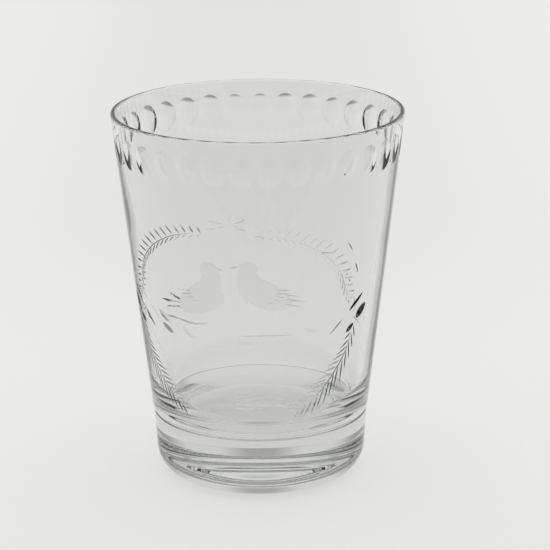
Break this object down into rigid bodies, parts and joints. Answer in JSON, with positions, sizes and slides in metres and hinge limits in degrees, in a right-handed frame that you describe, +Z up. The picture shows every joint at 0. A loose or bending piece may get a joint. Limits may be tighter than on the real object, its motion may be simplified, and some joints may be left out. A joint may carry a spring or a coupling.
{
  "type": "whisky tumbler",
  "caption": "Clear glass tumbler with a tapered bowl, a thick solid base, a row of oval cuts under the rim and an engraved wreath with doves.",
  "frame": {"origin": "centre of the resting face, on the axis of the tumbler", "axes": "+Z runs up the axis to the rim; -Y is the front, where the engraved wreath is centred"},
  "size_m": [0.0774, 0.0774, 0.1],
  "materials": {
    "clear_glass": "polished clear glass with a faint grey-green tint; the ovals are wheel-cut and polished, and the engraved wreath is left satin"
  },
  "bodies": {
    "root": {"bowl": "clear_glass", "base": "clear_glass"}
  },
  "joints": []
}
